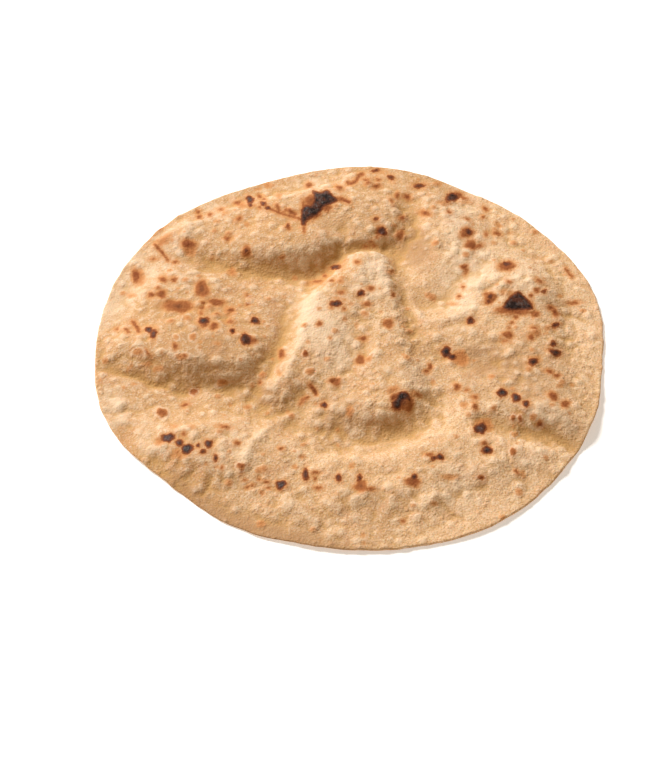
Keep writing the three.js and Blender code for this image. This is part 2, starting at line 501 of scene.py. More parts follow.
noise.seed_set(WOBBLE_SEED)
wobble = np.array([noise.noise_vector(Vector((x, y, 0)) / WOBBLE_SIZE) for x, y in top_flat])
line_across = across + WOBBLE_POINTS * wobble[:, 0]
line_down = down + WOBBLE_POINTS * wobble[:, 1]
folds = np.zeros(len(across))
for depth, reach, line in CREASES:
    distance, along = line_distance(line, line_across, line_down)
    folds -= depth * MM * fade_ends(along) * np.exp(-distance / reach)
for height, reach, line in RIDGES:
    distance, along = line_distance(line, line_across, line_down)
    folds += height * MM * fade_ends(along) * np.exp(-((distance / reach) ** 2))
folds *= weaker_at_rim(top_flat, FOLDS_AT_RIM)
folds -= DROOP * front_rim(top_flat, DROOP_REACH)
top_places = get_places(top)
top_places[:, 2] += folds
set_places(top, top_places)
print("folds from", round(folds.min() / MM, 2), "to", round(folds.max() / MM, 2), "mm")

# %% [markdown]
# ## A chart of the baked spots
#
# The griddle leaves black, brown and tan spots where the dough touched it and where blisters burned. Each
# is written down as the camera sees it: across and down in the frame, how wide and tall it looks, and, for
# a slanted one, its lean in degrees. Black spots are the burnt cores. Brown and tan ones are lighter, and
# also stand round a black one as its scorched edge and glow. Burnt patches are drawn by their edge, and
# burnt cracks are lines with a width.

# %% Black spots
BLACK_SPOTS = (
    # back
    (376, 170.5, 5, 2.5), (391, 177.5, 6, 3.5, -30), (419, 186, 9, 4, 8), (376, 219, 4, 3),
    (336, 267.5, 8, 4, 10), (250, 200, 7, 7), (250.5, 205, 3, 3), (263, 203.5, 5, 4), (268, 208, 4, 3),
    (288, 225.5, 3, 3), (382, 231.5, 9, 8),
    # right
    (452, 197.5, 14, 8, 12), (468.5, 232, 7, 6), (506.5, 264.5, 8, 5), (490, 296.5, 5, 5), (488.5, 302, 5, 3),
    (470.5, 321, 6.5, 6.5), (555.5, 325.5, 5, 6, -45), (553, 344, 5, 5), (555, 353, 12, 6, -20),
    (533, 362, 10, 6.5, 15), (446, 352, 9, 10, -30), (452, 357, 8, 6, -35), (544, 291.5, 4, 3.5),
    # front right
    (502, 393, 9, 8), (516, 398, 8, 8), (526, 404, 7, 6), (480.5, 428.5, 13, 10), (487, 450, 9, 8),
    (440, 457, 6, 6), (434, 458, 5, 4),
    # middle and front
    (361, 293.5, 7, 5), (336, 303, 10, 7), (324, 405, 6, 5), (414, 477, 6, 6),
    (305.5, 475, 6, 9.5), (281, 485, 9.5, 9), (359.5, 478, 4, 7), (338.5, 478, 5, 6),
    # left
    (168, 438, 12, 8.5, 8), (179.5, 443, 7, 6), (187, 449, 10.5, 10), (208.5, 444, 7, 8), (203, 451.5, 5, 4),
    (215.5, 458, 4, 5.5), (198, 445.5, 3, 3), (246, 339.5, 11, 10), (149, 330, 6, 6), (153.5, 334, 5, 8, -15),
    (204, 321, 9, 7), (232.5, 331, 4.5, 4.5), (246, 251, 4, 4), (255, 321, 7, 6),
)
print(len(BLACK_SPOTS), "black spots")

# %% Brown spots
BROWN_SPOTS = (
    # back
    (309, 185, 6, 5), (339, 188, 7, 4, -25), (311, 200.5, 12, 11), (304.5, 210, 5, 18, 10),
    (316, 215, 10, 6, 30), (327, 208, 9, 7), (366, 180, 5, 2.5), (378, 180, 4, 3), (368, 183.5, 5, 3.5),
    (376, 186.5, 7, 4), (397, 195.5, 4, 5), (407, 197, 8, 4.5, -20), (392, 202, 2, 4, 30),
    (425, 213.5, 9, 4, -15), (402, 218, 5, 4), (381, 231.5, 11, 10), (400, 235, 7, 9), (377, 238, 2.5, 2.5),
    (371, 242, 3, 2.5), (366, 246.5, 2.5, 2), (374, 246, 2.5, 2), (357, 262, 4, 3), (282, 257.5, 3, 2.5),
    (325, 276, 4, 3), (317, 282, 9, 2.5, 8), (332, 281, 3, 2), (371, 288, 5, 4), (391, 272, 3, 2),
    # back left
    (238, 203, 6, 4), (259.5, 196.5, 4, 4), (275, 211, 4, 2, -25), (277, 208, 2.5, 5, 20), (282, 213, 5, 2),
    (286, 210, 3, 3), (260, 207.5, 3, 3), (264, 199, 2.5, 2), (198, 212, 4, 3), (199, 217, 5, 4),
    (210, 214.5, 4, 3), (221, 209.5, 4, 2.5), (238.5, 219, 5, 4, 35), (288, 228, 5, 4), (227, 239, 6, 4),
    (188, 244, 14, 8), (175, 262, 4, 3), (246.5, 251.5, 9, 10), (136, 276, 8, 12, 10), (163, 279.5, 7, 5),
    (174, 279.5, 6, 4), (153, 259, 4, 1.5), (149.5, 236, 11, 3, 40), (160, 228.5, 6, 2.5, 35),
    # left
    (202, 289, 14, 15), (151, 295, 6, 4), (161.5, 294.5, 10, 8), (158, 288, 3, 2), (178.5, 306.5, 26, 12),
    (216, 302.5, 13, 7, -8), (203, 303, 4, 3), (202, 308, 4, 2.5), (201, 313, 3, 4), (231, 310, 6, 5),
    (217, 314, 4, 2), (248, 296, 4, 2.5, -30), (248, 304, 3.5, 3), (214, 326, 8, 7, -20), (204, 324, 9, 6),
    (230, 322, 6, 3), (128, 332, 3, 3), (117, 329, 3, 2), (126, 330, 3, 2), (175, 346, 5, 6),
    (147, 353, 6, 2.5, -40), (137, 350, 4, 2), (184.5, 356, 4, 3), (223, 382, 4, 2.5),
    (252, 341, 8, 7, -25), (194, 392, 8, 6), (185, 405, 6, 3.5, 10), (162, 413, 10, 8), (184, 434, 4, 3),
    (225, 427, 8, 3, -15), (237, 443, 5, 4.5), (241, 466, 8, 5), (241.5, 471, 2.5, 4), (222, 468, 3, 3),
    (245, 480, 2.5, 2), (247.5, 487, 3, 2.5), (252, 485, 2.5, 2.5),
    # middle
    (341, 292, 5, 3), (370, 289, 5, 3), (344, 308.5, 3, 3), (367, 304, 6, 4), (393, 295, 3.5, 3.5),
    (319.5, 323.5, 5, 5), (388, 324, 9, 9), (363, 338.5, 7, 4.5), (305.5, 354, 6, 6), (281.5, 354, 6, 7),
    (360, 360, 9, 8), (335, 382, 10, 8), (260, 382.5, 3, 3), (330, 338, 2, 2), (410, 404, 7, 14, -15),
    (402, 401, 17, 18), (397, 408, 10, 6), (394, 398, 7, 9, 30),
    # front
    (281, 448.5, 4, 3), (315, 473, 6, 2.5), (315, 478.5, 3, 3), (266, 482, 4, 2.5), (268, 488, 3, 2),
    (262, 493, 3, 2.5), (259, 479, 2.5, 2.5), (253, 485, 2.5, 2.5), (318.5, 488, 6, 4), (361, 486, 13, 11),
    (370, 489, 7, 3.5), (413, 482, 13, 9), (403, 521, 3, 2.5),
    # right
    (458, 195, 8, 6), (463, 198, 8, 3, -20), (449, 212, 4, 2.5), (485.5, 209, 5, 3.5, -30),
    (483, 217, 3, 2), (467, 219, 3, 1.5, -30), (486, 234, 3, 4), (497, 233.5, 6, 4, -15), (471, 245, 12, 9),
    (478, 246, 9, 3.5, 5), (466.5, 232.5, 14, 9), (464, 267, 6, 5), (466, 271, 3, 6, -10),
    (507, 266, 16, 9), (490, 298.5, 12, 11), (509, 282, 4, 3), (539, 281, 6, 3, -20), (537, 290.5, 6, 4.5),
    (531, 295.5, 4, 4), (463, 287, 3, 2.5), (459, 296.5, 3.5, 3), (486, 294, 4, 3), (551, 308, 7, 4, -20),
    (555, 313, 5, 9, 25), (508, 335, 11, 7), (506, 341, 5, 2.5), (509, 328, 2.5, 2.5), (512, 322.5, 3, 2.5),
    (534, 328, 5.5, 3.5), (531, 337, 5, 6), (549.5, 371.5, 7, 3.5, -15), (557, 375.5, 5, 3.5),
    (573, 303, 9, 3), (508, 309, 22, 8, 5), (518, 312, 26, 5), (535, 314, 7, 7), (516, 317, 5, 4),
    # front right
    (430, 367, 5, 5), (427, 371, 5, 4), (457, 387, 7, 6), (467, 390, 2.5, 2), (475, 397, 5, 4),
    (475, 407, 4.5, 7), (493.5, 408.5, 3, 3), (553, 396, 10, 7, -30), (565, 404, 8, 7, -40),
    (513, 417.5, 4, 5), (520, 419, 4, 6.5), (540, 425, 7, 6), (430, 455, 7, 4), (484.5, 444, 5, 4),
    (513, 452, 6, 6.5), (481, 478, 7.5, 5.5),
)
print(len(BROWN_SPOTS), "brown spots")

# %% Tan spots
TAN_SPOTS = (
    # back and back left
    (268, 185, 9, 6), (279, 196, 6, 5), (258, 189, 6, 3), (242, 205, 12, 7), (225, 213, 6, 3),
    (217, 221.5, 6, 3), (247, 224.5, 5, 5), (190, 248, 17, 16), (232, 272, 10, 8), (212, 258, 3, 4),
    (163, 279, 11, 8), (138, 277, 16, 15), (174, 279, 9, 6), (163, 241, 26, 9, 40), (437, 184, 9, 5),
    (380, 172, 14, 3), (327, 208, 8, 7), (309, 221, 9, 4), (301, 208, 4, 14),
    # left
    (131, 296, 9, 4), (204, 293, 12, 12), (188, 306, 13, 10), (162, 294, 12, 11), (229, 311.5, 12, 10),
    (217, 343, 6, 4), (193, 337, 8, 8), (176, 337, 5, 5), (200, 342, 3, 3), (200, 347, 3, 2.5),
    (139, 353, 13, 8), (148, 364, 8, 5), (182, 357, 14, 9), (222, 383, 13, 8), (160, 369, 10, 5),
    (134, 384, 4, 3), (162, 414, 13, 11), (174, 426, 7, 3), (192, 427, 7, 3), (230, 405, 3, 3),
    (177, 452, 9, 7), (180, 456, 18, 6), (160, 442, 12, 8), (241, 467, 10, 8), (217, 467, 5, 4),
    # middle and front
    (310, 372, 10, 9), (335, 331, 8, 5.5, -25), (345, 319, 5, 5), (366, 316, 5, 4), (344, 299, 4, 3),
    (351, 304, 4, 3), (356, 325, 3.5, 4), (308, 342, 4, 3), (327, 359, 6, 4, 25), (279, 373, 4, 7, 15),
    (355, 370, 3, 3), (393, 390, 14, 8, 20), (406, 405, 9, 9), (413, 394, 6, 8), (336, 297, 8, 3),
    (295, 467, 5, 5), (302, 457, 6, 5), (350, 412, 8, 12), (352, 466, 6, 6), (318, 488, 7, 5),
    (434, 504, 7, 5), (413, 506, 6, 4), (450, 477, 14, 5), (363, 535, 4, 6), (364, 543, 3, 2),
    # right
    (431, 297, 12, 7, -15), (453, 304, 9, 3), (445, 203, 14, 6), (465, 202.5, 12, 3), (473, 224, 3, 3),
    (467, 233, 16, 12), (498, 225, 8, 5, -30), (510, 233, 5, 2), (494, 243, 5, 4), (551, 262, 4, 3),
    (506, 270, 13, 4), (560, 296, 5, 3.5), (503, 292, 9, 5, 35), (531, 296, 9, 5, -40), (536, 333, 11, 9),
    (548, 328, 7, 5), (545, 334, 7, 2.5), (510, 294, 9, 5, 40), (532, 303, 5, 14, 20), (433, 382, 4, 5),
    (464, 405, 8, 6), (460, 358, 20, 16), (474, 361, 3, 3), (560, 385, 7, 5), (572, 385, 4, 4),
    (533, 417, 8, 8), (515, 435, 7, 6), (484, 425, 19, 15), (534, 358, 10, 5), (522, 473, 6, 4),
)
print(len(TAN_SPOTS), "tan spots")

# %% Burnt patches
# The three largest burns have shapes of their own, each written as the places round its edge.
BURNT_PATCHES = (
    # at the back
    ((301, 216), (302, 209), (305, 205), (310, 206), (314, 203), (314, 196), (312, 190), (317, 192),
     (322, 193), (327, 189), (332, 195), (336, 198), (339, 200), (334, 203), (328, 205), (323, 208),
     (320, 213), (315, 217), (309, 219), (306, 222), (305, 226), (302, 225), (301, 221)),
    # on the right, nearly a triangle
    ((502, 308), (505, 303), (509, 298), (513, 294), (517, 292), (521, 293), (525, 297), (529, 301),
     (532, 305), (533, 309), (528, 311), (521, 310), (514, 311), (507, 311)),
    # in the front of the tent, a hoop
    ((392, 402), (396, 399), (398, 394), (402, 391), (407, 392), (410, 396), (410, 401), (405, 400),
     (402, 402), (401, 408), (397, 410), (393, 407)),
)
print(len(BURNT_PATCHES), "burnt patches")

# %% Burnt cracks
# How wide each line looks, then the places it runs through.
BURNT_CRACKS = (
    (1.8, ((334, 199), (341, 199), (349, 202))),
    (1.2, ((305, 222), (304, 226), (304, 231))),
    (1.8, ((310, 385), (314, 390), (316, 394))),
    (1.8, ((133, 322), (136, 326), (139, 331))),
    (1.4, ((155, 245), (159.5, 249.5), (164, 255), (168, 260))),
    (1.6, ((348, 183), (352, 183.5), (356, 181), (358, 177.5), (359.5, 175), (363, 174.5))),
    (1.2, ((262, 203), (270, 209), (279, 213), (290, 216), (300, 219))),
    (1.6, ((277, 206), (279, 211))),
    (1.8, ((289, 211), (295, 214))),
    (1.0, ((415, 393), (420, 396))),
    (1.2, ((566, 269), (568, 272), (572, 277))),
    (1.2, ((515, 471), (518, 474))),
    (1.2, ((302, 400), (308, 397))),
    (1.0, ((300, 404), (304, 400))),
)
print(len(BURNT_CRACKS), "burnt cracks")

# %% [markdown]
# ## From the chart to the dough
#
# Colouring a spot with a picture would fix its edge to the picture's grain. Instead, each point of the mesh
# stores how deep it lies inside the nearest spot, in millimetres: positive inside, zero at the edge,
# negative outside. Such a depth changes smoothly, so the material can later cut a fine edge out of it
# between the points. No griddle spot is a clean oval, so each oval's edge wanders by a few seeded waves.
# Each spot also has its own strength, so that some are dark brown and others hardly more than toasted.

# %% Depths of the spots
POINT = 0.433 * MM  # one point of the frame, on the bread
FARTHEST = -4.0 * MM  # depth where no spot is near
EDGE_WAVES = ((2, 0.09), (3, 0.08), (5, 0.05))  # waves round a spot, and their size as a share of its radius
MARGIN = 12  # frame points round a spot that its depth is worked out for
LARGE_SPOT = 2.2 * MM  # spots of this radius or more may be baked weakly, and the smallest are all dark
WEAKEST = 0.45


def near_spot(spot, across, down):
    """The points in and round a spot."""
    reach = max(spot[2:4]) / 2 + MARGIN
    return np.flatnonzero((abs(across - spot[0]) < reach) & (abs(down - spot[1]) < reach))


def oval_share(spot, across, down):
    """How far out each place is in a ragged oval: 0 in the middle, 1 at the edge."""
    x, y, wide, tall, *lean = spot
    turn = math.radians(lean[0] if lean else 0)
    right = (across - x) * math.cos(turn) - (down - y) * math.sin(turn)
    low = (across - x) * math.sin(turn) + (down - y) * math.cos(turn)
    direction = np.arctan2(low, right)
    seeded = random.Random(x * 1000 + y)
    edge = 1.0
    for count, size in EDGE_WAVES:
        edge = edge + size * np.sin(count * direction + seeded.uniform(0, 2 * math.pi))
    return np.hypot(right / (wide / 2), low / (tall / 2)) / edge


def patch_depth(patch, across, down):
    """Depth inside a patch with a drawn edge: distance to the edge, positive inside."""
    edge = patch + patch[:1]
    inside = np.zeros(len(across), dtype=bool)
    for (x, y), (next_x, next_y) in zip(edge, edge[1:]):
        if y != next_y:
            crossing = x + (down - y) / (next_y - y) * (next_x - x)
            inside ^= ((y > down) != (next_y > down)) & (across < crossing)
    distance = line_distance(edge, across, down)[0] * POINT
    return np.where(inside, distance, -distance)


def spot_depths(spots, across, down):
    """Depth inside the nearest of these spots for every point, and how strongly that spot is baked."""
    depths = np.full(len(across), FARTHEST)
    strengths = np.ones(len(across))
    for spot in spots:
        near = near_spot(spot, across, down)
        radius = min(spot[2:4]) / 2 * POINT
        depth = (1 - oval_share(spot, across[near], down[near])) * radius
        deeper = depth > depths[near]
        depths[near[deeper]] = depth[deeper]
        weaker = min(1, radius / LARGE_SPOT) * random.Random(spot[0] + spot[1] * 1000).random()
        strengths[near[deeper]] = 1 - WEAKEST * weaker
    return depths, strengths


top_places = get_places(top)
across, down = seen(top_places)
black_depth = spot_depths(BLACK_SPOTS, across, down)[0]
brown_depth, strength = spot_depths(BROWN_SPOTS, across, down)
tan_depth = spot_depths(TAN_SPOTS, across, down)[0]
for patch in BURNT_PATCHES:
    black_depth = np.maximum(black_depth, patch_depth(patch, across, down))
for width, line in BURNT_CRACKS:
    distance = line_distance(line, across, down)[0]
    brown_depth = np.maximum(brown_depth, (width - distance) * POINT)
print("points inside a black, brown and tan spot:",
      [int((depth > 0).sum()) for depth in (black_depth, brown_depth, tan_depth)])

# %% [markdown]
# ## Blisters
#
# Small bubbles stand all over the bread, and the burnt spots are bubbles too, since they touched the
# griddle first. A bubble is a low dome. The larger ones with pale rims are listed as the camera sees them,
# like the spots, and many small ones are scattered by a seeded random choice, more where the bread is
# pebbly. A k-d tree finds the points round each bubble quickly.

# %% Blisters
PALE_BLISTERS = (
    (162, 413, 15, 13), (194, 392, 10, 8), (182, 357, 16, 11), (222, 383, 15, 10), (356, 434, 13, 10),
    (513, 418, 7, 8), (520, 419, 7, 9), (507, 414, 6, 5), (537, 420, 23, 17), (515, 435, 9, 8),
    (513, 452, 10, 10), (335, 331, 9, 7), (176, 337, 7, 7), (193, 337, 10, 9), (310, 372, 12, 11),
    (305.5, 354, 9, 9), (481, 478, 10, 8), (396, 521, 7, 7), (413, 506, 9, 7), (485, 354, 5, 5),
    (232, 345, 6, 5), (138, 352, 15, 9), (250, 300, 9, 7), (241, 467, 12, 10),
)
PALE_RISE = 0.5 * MM
BLACK_RISE = 0.35 * MM
BROWN_RISE = 0.25 * MM
RIM_BAND = 0.28  # width of a pale rim, as a share of the blister's radius
DOME_POINTS = 8  # a dome this wide or wider gets its full height
DOME_POWER = 3  # higher makes a dome flatter on top and steeper at its edge
RIM_PLACE = 0.95  # where the pale rim is, as a share of the blister's radius
PATCH_SLOPE = 1.2 * MM  # how far in from its edge a burnt patch reaches its full height


def domes(spots, height, across, down):
    """How high the blisters of a list raise each point."""
    rise = np.zeros(len(across))
    for spot in spots:
        near = near_spot(spot, across, down)
        share = oval_share(spot, across[near], down[near])
        full = height * min(1.0, min(spot[2:4]) / DOME_POINTS)
        rise[near] = np.maximum(rise[near], full * np.clip(1 - share**DOME_POWER, 0, 1))
    return rise


rise = np.maximum(domes(PALE_BLISTERS, PALE_RISE, across, down), domes(BLACK_SPOTS, BLACK_RISE, across, down))
rise = np.maximum(rise, domes(BROWN_SPOTS, BROWN_RISE, across, down))
for patch in BURNT_PATCHES:
    rise = np.maximum(rise, BLACK_RISE * np.clip(patch_depth(patch, across, down) / PATCH_SLOPE, 0, 1))
pale_rim = np.zeros(len(across))
for spot in PALE_BLISTERS:
    near = near_spot(spot, across, down)
    share = oval_share(spot, across[near], down[near])
    pale_rim[near] = np.maximum(pale_rim[near], np.exp(-(((share - RIM_PLACE) / RIM_BAND) ** 2)))
print("blisters rise up to", round(rise.max() / MM, 2), "mm")

# %% Scattered blisters
random.seed(7)
SMALL_BLISTERS = 2600
SMALL_RADIUS = (1.0 * MM, 3.0 * MM)
STEEPNESS = (0.135, 0.27)  # least and most height of a small blister, as a share of its radius
STANDING = 0.17 * MM  # no small blister is added where a charted one stands higher than this
SCATTER_AT_RIM = 0.3
BAKED_SHARE = 0.07
BAKED_CORE = 0.6  # a baked one is tan out to this share of its radius
BAKED_EDGE = 0.8 * MM  # how far outside a baked blister its tan depth is worked out


def scatter(flat, rise, tan_depth, count, weights):
    """Adds small blisters in random places, more where the weights are higher. Some of them are baked tan."""
    tree = KDTree(len(flat))
    for index, (x, y) in enumerate(flat):
        tree.insert((x, y, 0), index)
    tree.balance()
    taken = rise > STANDING
    for _ in range(count):
        centre = random.randrange(len(flat))
        radius = SMALL_RADIUS[0] + (SMALL_RADIUS[1] - SMALL_RADIUS[0]) * random.random() ** 2
        height = radius * random.uniform(*STEEPNESS)
        if random.random() > weights[centre]:
            continue
        baked = random.random() < BAKED_SHARE
        for place, index, distance in tree.find_range((*flat[centre], 0), radius + BAKED_EDGE):
            if not taken[index]:
                rise[index] = max(rise[index], height * (1 - (distance / radius) ** 2))
            if baked:
                tan_depth[index] = max(tan_depth[index], BAKED_CORE * radius - distance)


scatter(top_flat, rise, tan_depth, SMALL_BLISTERS, pebbly * weaker_at_rim(top_flat, SCATTER_AT_RIM))
top_places[:, 2] += rise
print("scattered", SMALL_BLISTERS, "small blisters")

# %% [markdown]
# ## Limits
#
# Lumps, ridges and blisters can meet on the highest crest and make the bread taller than the CAD model, and
# creases can cut it through where it is thin. Two soft limits prevent both. A soft limit acts only near its
# value, and lets a point pass less and less of what it asks for. The lower limit lies a little above the
# underside, whose height is read at the place nearest to each point.

# %% Limits
TALLEST = 1.01 * cad_high[2]
KNEE = 0.8 * MM  # the upper limit starts to act this far below it
THINNEST = 0.85 * MM
THIN_KNEE = 0.35 * MM


def beyond(excess, knee):
    """What a soft limit takes away from an excess, which is counted from the knee on."""
    excess = np.maximum(excess, 0)
    return excess - knee * (1 - np.exp(-excess / knee))


def level(sheet, places):
    """The height of a sheet at the place nearest to each point."""
    bpy.context.view_layer.update()
    return np.array([sheet.closest_point_on_mesh(place)[1].z for place in places.tolist()])


set_places(under, np.column_stack([under_flat, under_height]))
lowest = level(under, top_places) + THINNEST
top_places[:, 2] -= beyond(top_places[:, 2] - (TALLEST - KNEE), KNEE)
top_places[:, 2] += beyond(lowest + THIN_KNEE - top_places[:, 2], THIN_KNEE)
set_places(top, top_places)
print("the top is now at most", round(top_places[:, 2].max() / MM, 2), "mm high")

# %% [markdown]
# ## The underside
#
# The underside lay on the griddle too, so it gets its own lumps and spots. It rests on the table, so
# nothing may be pushed down: its Displace layers only raise the skin into the bread, and the soft limit
# keeps it clear of the top. Its spots come from a seeded random choice instead of a chart, in the same
# three kinds and sizes as those on top.

# %% Lumps and spots of the underside
UNDER_LUMPS = (("CLOUDS", 9 * MM, 0.5 * MM), ("CLOUDS", 3.5 * MM, 0.35 * MM))
UNDER_SPOTS = (("black", 70, 3, 11), ("brown", 150, 3, 14), ("tan", 130, 5, 20))  # how many, sizes in points
UNDER_REACH = 0.95  # spots stay within this share of the rim
ROUNDNESS = (0.6, 1)  # least and most height of an underside spot, as a share of its width

weigh(under, "lumpy", weaker_at_rim(under_flat, 0))
lumpy(under, "lumpy", UNDER_LUMPS, mid_level=0.0)
under_places = get_places(under)
highest = level(top, under_places) - THINNEST
under_places[:, 2] -= beyond(under_places[:, 2] - (highest - THIN_KNEE), THIN_KNEE)
under_places[:, 2] = np.maximum(under_places[:, 2], under_height)
under_across, under_down = under_flat[:, 0] / POINT, under_flat[:, 1] / POINT
under_depths = {}
for kind, count, smallest, largest in UNDER_SPOTS:
    spots = []
    for _ in range(count):
        turn = random.uniform(0, 2 * math.pi)
        out = UNDER_REACH * math.sqrt(random.random()) * cad_high[0]
        wide = smallest + (largest - smallest) * random.random() ** 2
        spots.append((out / POINT * math.cos(turn), out / POINT * math.sin(turn), wide,
                      wide * random.uniform(*ROUNDNESS), random.uniform(-90, 90)))
    under_depths[kind] = spot_depths(spots, under_across, under_down)[0]
print("underside spots:", {kind: int((depth > 0).sum()) for kind, depth in under_depths.items()}, "points")

# %% [markdown]
# ## Hollows
#
# What stands up is painted paler, partly as flour dust and partly as a painted highlight, and the hollows
# are painted a darker yellow as shade. How hollow each point is comes from comparing its height with the
# smoothed surface round it: a little smoothing finds the gaps between blisters, and a lot finds the valleys,
# which are painted as shade too. A list of places also paints some places paler and others darker: partly
# flour dust and baking, partly painted light and shade. All these numbers are stored on the points beside
# the spots' depths, as attributes, which the material can read by name.

# %% Flour dust and painted light and shade
DUST_AND_PAINTED_LIGHT = (
    # places painted paler, partly flour dust and partly painted light: across, down, how far it reaches, and
    # how much
    (105, 298, 38, 0.9), (112, 420, 34, 0.5), (150, 262, 28, 0.5), (250, 190, 40, 0.3), (235, 455, 34, 0.5),
    (322, 330, 26, 0.8), (308, 306, 22, 0.6), (372, 278, 26, 1.0), (342, 362, 26, 0.6), (420, 376, 24, 0.5),
    (462, 262, 34, 0.9), (456, 208, 22, 0.8), (460, 312, 22, 0.6), (525, 285, 26, 0.6), (568, 325, 30, 0.5),
    (458, 486, 26, 0.5), (532, 462, 28, 0.4), (112, 408, 20, 0.4), (148, 458, 22, 0.9), (318, 186, 22, 0.6),
    (178, 236, 24, 0.4), (306, 262, 16, 0.6), (382, 242, 9, 0.8), (214, 214, 16, 0.5), (182, 284, 18, 0.4),
    (214, 386, 18, 0.4), (374, 266, 12, 0.5),
    # and places painted darker, partly baking and partly painted shade
    (478, 366, 30, -1.0), (528, 368, 34, -0.9), (338, 412, 32, -1.0), (215, 348, 34, -0.8),
    (418, 250, 24, -1.6), (264, 397, 14, -1.3), (350, 256, 18, -0.9), (530, 410, 22, -0.6),
    (392, 335, 18, -0.4), (402, 190, 24, -0.5), (545, 335, 20, -0.3), (155, 326, 32, -0.5),
    (250, 236, 24, -0.5), (280, 358, 20, -0.6), (340, 470, 34, -0.3),
)
PAINTED_RIM_SHADE_WIDTH = 8 * MM  # the rim at the front is painted darker over this width: painted shade where it curves down, and browning
PAINTED_RIM_SHADE = 1.6

dusting = np.zeros(len(across))
# each listed place is painted paler or darker: partly flour dust and baking, partly painted light and shade
for x, y, reach, amount in DUST_AND_PAINTED_LIGHT:
    dusting += amount * np.exp(-(((across - x) / reach) ** 2) - ((down - y) / reach) ** 2)
# the front rim painted darker: painted shade where it curves down, and browning
dusting -= PAINTED_RIM_SHADE * front_rim(top_flat, PAINTED_RIM_SHADE_WIDTH)
print("dust from", round(dusting.min(), 2), "to", round(dusting.max(), 2))

# %% Hollows
NARROW = 14  # repeats of smoothing
BROAD = 140
GOLDEN_TURN = math.radians(155)  # direction of the side that is more golden
UNDER_STRENGTH = 0.8
UNDER_GOLDEN_SIDE_WEIGHT = 0.5


def smoothed(sheet, values, repeats):
    """Averages a value with its neighbours' over and over, along the mesh's edges."""
    edges = np.empty(len(sheet.data.edges) * 2, dtype=np.int32)
    sheet.data.edges.foreach_get("vertices", edges)
    one, other = edges.reshape(-1, 2).T
    count = np.bincount(one, minlength=len(values)) + np.bincount(other, minlength=len(values))
    for _ in range(repeats):
        total = np.bincount(one, values[other], len(values)) + np.bincount(other, values[one], len(values))
        values = 0.5 * values + 0.5 * total / count
    return values


def store(sheet, **named_values):
    """Keeps numbers for each point under names that the material can read."""
    for name, values in named_values.items():
        attribute = sheet.data.attributes.new(name, "FLOAT", "POINT")
        attribute.data.foreach_set("value", np.asarray(values, dtype=np.float32))


heights = top_places[:, 2]
hollow = smoothed(top, heights, NARROW) - heights
valley = smoothed(top, heights, BROAD) - heights
golden_side = np.array([math.cos(GOLDEN_TURN), math.sin(GOLDEN_TURN)])
browning = 0.5 + 0.5 * (top_flat @ golden_side) / cad_high[0]
store(top, browning=browning, dusting=dusting, black=black_depth / MM, brown=brown_depth / MM,
      tan=tan_depth / MM, strength=strength, pale_rim=pale_rim, hollow=hollow / MM, valley=valley / MM)
under_hollow = under_places[:, 2] - smoothed(under, under_places[:, 2], NARROW)
plain = np.zeros(len(under_places))
store(under, browning=plain + UNDER_GOLDEN_SIDE_WEIGHT, dusting=plain, black=under_depths["black"] / MM,
      brown=under_depths["brown"] / MM, tan=under_depths["tan"] / MM, strength=plain + UNDER_STRENGTH,
      pale_rim=plain, hollow=under_hollow / MM, valley=plain)
print("hollows to", round(hollow.max() / MM, 2), "mm, valleys to", round(valley.max() / MM, 2), "mm")

# %% [markdown]
# ## Closing the bread
#
# The last rings of both sheets bend towards each other in a quarter circle, each by nearly half of the
# thickness there, which rounds the rim. The underside is flipped so that its faces look down, the two are
# joined, and a bridge of faces between their open edges closes the bread into one watertight skin.

# %% Round the lip and join
LIP_SHARE = 0.46  # how far each side bends, as a share of the thickness there
set_places(under, under_places)
top_gap = top_places[:, 2] - level(under, top_places)
under_gap = level(top, under_places) - under_places[:, 2]
top_places[:, 2] -= LIP_SHARE * top_gap * (1 - np.cos(top_lip * math.pi / 2))
under_places[:, 2] += LIP_SHARE * under_gap * (1 - np.cos(under_lip * math.pi / 2))
set_places(top, top_places)
set_places(under, under_places)
print("the rim is", round(top_gap[top_lip == 1].min() / MM, 2), "to",
      round(top_gap[top_lip == 1].max() / MM, 2), "mm thick")

bpy.ops.object.select_all(action="DESELECT")
under.select_set(True)
bpy.context.view_layer.objects.active = under
bpy.ops.object.mode_set(mode="EDIT")
bpy.ops.mesh.select_all(action="SELECT")
bpy.ops.mesh.flip_normals()
bpy.ops.object.mode_set(mode="OBJECT")
top.select_set(True)
bpy.context.view_layer.objects.active = top
bpy.ops.object.join()
bread = bpy.context.object
bpy.ops.object.mode_set(mode="EDIT")
bpy.ops.mesh.select_mode(type="EDGE")
bpy.ops.mesh.select_all(action="DESELECT")
bpy.ops.mesh.select_non_manifold(extend=False)
bpy.ops.mesh.bridge_edge_loops()
bpy.ops.object.mode_set(mode="OBJECT")
bpy.ops.object.shade_smooth()
print("bread", len(bread.data.polygons), "faces")

# %% [markdown]
# ## The dough's material
#
# One Principled BSDF does for the whole bread, because dough, scorch and char are one skin baked to
# different degrees. Its colour is built in layers, from the pale ground to the black burns, and each layer
# is a mix that a noise or a stored value controls. Short helper functions keep that readable: each adds one
# node and returns its output. Noise reads the Object coordinates, so a size here is a real size on the
# bread.

# %% Helpers for the material
dough = bpy.data.materials.new("baked dough")
dough.use_nodes = True
shader = dough.node_tree.nodes["Principled BSDF"]


def add(kind, inputs=None, **settings):
    """Adds a node. An input given a socket is linked to it, and one given a number or colour is set."""
    made = dough.node_tree.nodes.new(kind)
    for setting, value in settings.items():
        setattr(made, setting, value)
    for name, value in (inputs or {}).items():
        if isinstance(value, bpy.types.NodeSocket):
            dough.node_tree.links.new(value, made.inputs[name])
        else:
            made.inputs[name].default_value = value
    return made


